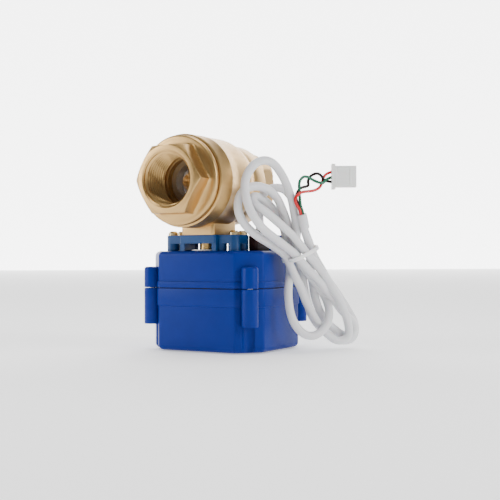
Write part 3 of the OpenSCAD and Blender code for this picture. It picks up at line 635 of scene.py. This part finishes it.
bm = bmesh.new()
levels = [(-0.2, SEAM + 0.2), (-0.38, SEAM + 0.3), (-0.45, SEAM + 0.5), (-0.45, 34.4),
          (-0.38, 34.65), (-0.2, 34.75), (0.02, 34.8), (0.0, 35.1), (0.0, 40), (0.0, 47.6)]
levels += fillet_levels(47.6, 2.4, 2.4, 8, True)
grid(bm, [case_ring(d, z) for d, z in levels])
upper = finished("upper_shell", bm, "case_blue", "housing", "upper_case")
drill(upper, [cutter(lambda b: upright(b, 0, 0, [(7.2, 47.6), (7.2, 51)], 64))])

bm = bmesh.new()
levels = [(-0.2, SEAM - 0.2), (-0.38, SEAM - 0.3), (-0.45, SEAM - 0.5), (-0.45, 22.8),
          (-0.38, 22.5), (-0.2, 22.4), (0.02, 22.3), (0.0, 22.0), (0.0, 12), (0.0, 2.4)]
levels += fillet_levels(2.4, 2.4, 2.4, 8, False)
grid(bm, [case_ring(d, z) for d, z in levels])
lower = finished("lower_shell", bm, "case_blue", "housing", "lower_case")
drill(lower, [cutter(lambda b, x=x, y=y: upright(b, x, y, [(4.1, -1), (4.1, 12.9)], 48))
              for x, y in BOSSES])

for i, (x, y) in enumerate(BOSSES):
    bm = bmesh.new()
    upright(bm, x, y, [(0.01, 42.1), (2.9, 42.1), (3.6, 41.9), (4.0, 41.4), (4.1, 40.8),
                       (4.1, SEAM + 0.45), (3.9, SEAM + 0.2), (0.01, SEAM + 0.2)], 48)
    finished("boss_top_%d" % i, bm, "case_blue", "housing")
    bm = bmesh.new()
    upright(bm, x, y, [(0.01, SEAM - 0.2), (3.9, SEAM - 0.2), (4.1, SEAM - 0.45), (4.1, 13.3),
                       (3.9, 12.95), (3.1, 12.9), (2.95, 13.0), (2.95, 15.3), (0.01, 15.3)], 48)
    finished("boss_foot_%d" % i, bm, "case_blue", "housing")

bm = bmesh.new()
turret = [(0, 47.6), (0, 56), (0.1, 56.8), (0.4, 57.5), (0.9, 57.9), (1.6, 58)]
grid(bm, [round_rect(12 + d, 29.6 - d, 24 + d, 43.6 - d, 2.4 - d * 0.4, z, 8) for d, z in turret])
finished("turret_cover", bm, "case_blue", "housing")

# collar round the stem, on top of the housing
bm = bmesh.new()
upright(bm, 0, 0, [(7.15, 47.7), (7.15, 50.02), (8.0, 50.02), (8.1, 50.2), (8.1, 50.5),
                   (7.9, 50.7), (6.4, 50.7), (6.1, 50.5), (6.1, 47.7)], 72, closed=True)
finished("stem_collar", bm, "shaft_plastic", "housing", "top_bush")

# black block that the cable comes out of
bm = bmesh.new()
levels = [(0.1, 50.02), (0, 50.3), (0, 57), (0.1, 57.5), (0.35, 57.85), (0.8, 58)]
grid(bm, [round_rect(21.6 + d, 26.6 - d, 3.5 + d, 17 - d, 1.0, z, 6) for d, z in levels])
finished("outlet_block", bm, "block_black", "housing", "cable_block")
bm = bmesh.new()
upright(bm, 24.1, 11.8, [(2.15, 57.6), (2.9, 57.6), (2.95, 58.3), (2.8, 59.2), (2.55, 60.4),
                         (2.35, 61.4), (2.15, 61.6)], 40, closed=True)
finished("cable_collar", bm, "block_black", "housing")

# ribs on the connector, which lies square to the camera
PLUG_AT = hank(*PLUG) / MM
PLUG_X = Vector((cos(radians(30.04)), sin(radians(30.04)), 0))
PLUG_Y = Vector((-PLUG_X.y, PLUG_X.x, 0))


def plug_box(bm, x0, x1, y0, y1, z0, z1, r):
    """A box with round vertical corners in the connector's own axes."""
    grid(bm, [[PLUG_AT + PLUG_X * a + PLUG_Y * y + Vector((0, 0, b)) for a, b, _ in
               round_rect(x0 + d, x1 - d, z0 + d, z1 - d, r - d * 0.5, 0, 5)]
              for d, y in ((0.12, y0), (0, y0 + 0.12), (0, y1))])


bm = bmesh.new()
for z in (-3.1, 3.1):
    plug_box(bm, 3.0, 8.2, -3.35, -2.8, z - 1.15, z + 1.15, 0.8)
plug_box(bm, 1.7, 2.5, -3.3, -2.8, -5.2, 5.2, 0.3)
plug_box(bm, 8.9, 9.7, -3.2, -2.8, -4.4, 4.4, 0.3)
ribs = finished("plug_ribs", bm, "plug_white", "housing")

# ---------------------------------------------------------------- CAD pieces with edges and finish
FINISH = {
    "brass_stem": ["valve_stem"],
    "rubber": ["stem_orings", "case_seal"],
    "ptfe": ["stem_washer"],
    "bracket_blue": ["bracket"],
    "screw_brass": ["bracket_screws"],
    "screw_steel": ["valve_screws", "case_screws", "plate_screws", "gearbox_screws",
                    "switch_screws", "board_screws"],
    "bronze": ["foot_bush"], "shaft_plastic": ["output_shaft"],
    "gear_plastic": ["sector_gear", "idler_gear"],
    "cam_black": ["open_cam"],
    "cam_red": ["close_cam"],
    "pinion_brass": ["motor_pinion"],
    "contact_tin": ["plug_contacts", "motor_terminals"],
    "steel": ["idler_pin", "gear_plate", "gearbox", "motor_can", "motor_shaft"],
    "switch_black": ["open_switch", "close_switch"],
    "switch_red": ["open_plunger", "close_plunger"],
    "board_green": ["circuit_board"], "board_parts": ["board_parts"],
    "plug_white": ["plug_housing", "switch_spacer"],
}
EDGES = {"bracket": 0.45, "bracket_screws": 0.18, "plug_housing": 0.3, "valve_stem": 0.15,
         "valve_screws": 0.12, "case_screws": 0.15, "gear_plate": 0.15, "motor_can": 0.4,
         "gearbox": 0.25, "open_cam": 0.25, "close_cam": 0.25, "output_shaft": 0.2,
         "sector_gear": 0.1, "idler_gear": 0.08, "open_switch": 0.2, "close_switch": 0.2}
for slot, names in FINISH.items():
    for name in names:
        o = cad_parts[name]
        for s in o.material_slots:
            s.material = MAT[slot]
        if name in EDGES:
            bevel(o, EDGES[name])
